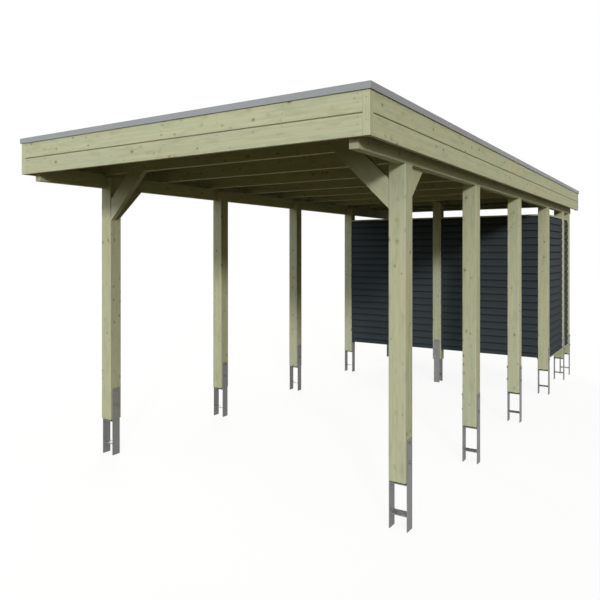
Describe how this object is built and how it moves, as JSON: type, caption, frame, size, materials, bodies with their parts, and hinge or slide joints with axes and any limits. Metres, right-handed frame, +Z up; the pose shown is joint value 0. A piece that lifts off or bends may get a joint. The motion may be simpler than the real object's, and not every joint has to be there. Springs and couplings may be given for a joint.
{
  "type": "carport",
  "caption": "Flat-roofed timber carport on galvanised steel post anchors, with front head braces and a board-clad storage room at its rear.",
  "frame": {"origin": "centre of the footprint on the floor under the anchor tips", "axes": "+X to the right-hand side, +Y to the rear with the storage room, +Z up"},
  "size_m": [3.158, 7.098, 2.743],
  "materials": {
    "timber": "planed, pressure-treated softwood",
    "wall_boards": "dark matt paint",
    "galvanised_steel": "hot-dip galvanised",
    "edge_trim": "satin grey coating",
    "roof_sheet": "satin grey coating"
  },
  "bodies": {
    "root": {"anchor_left_1": "galvanised_steel", "anchor_left_2": "galvanised_steel", "anchor_left_3": "galvanised_steel", "anchor_left_4": "galvanised_steel", "anchor_left_rear": "galvanised_steel", "anchor_middle_front": "galvanised_steel", "anchor_middle_rear": "galvanised_steel", "anchor_right_1": "galvanised_steel", "anchor_right_2": "galvanised_steel", "anchor_right_3": "galvanised_steel", "anchor_right_4": "galvanised_steel", "anchor_right_5": "galvanised_steel", "anchor_right_rear": "galvanised_steel", "corner_battens": "timber", "cross_brace_left": "timber", "cross_brace_right": "timber", "fascia_front": "timber", "fascia_left": "timber", "fascia_rear": "timber", "fascia_right": "timber", "post_head_trimmers": "timber", "post_left_1": "timber", "post_left_2": "timber", "post_left_3": "timber", "post_left_4": "timber", "post_left_rear": "timber", "post_middle_front": "timber", "post_middle_rear": "timber", "post_right_1": "timber", "post_right_2": "timber", "post_right_3": "timber", "post_right_4": "timber", "post_right_5": "timber", "post_right_rear": "timber", "purlin_left": "timber", "purlin_right": "timber", "rafters": "timber", "roof_edge_trim": "edge_trim", "roof_sheet": "roof_sheet", "side_brace_left": "timber", "side_brace_right": "timber", "storage_front_wall": "wall_boards", "storage_left_wall": "wall_boards", "storage_rear_wall": "wall_boards", "storage_right_wall": "wall_boards"}
  },
  "joints": []
}
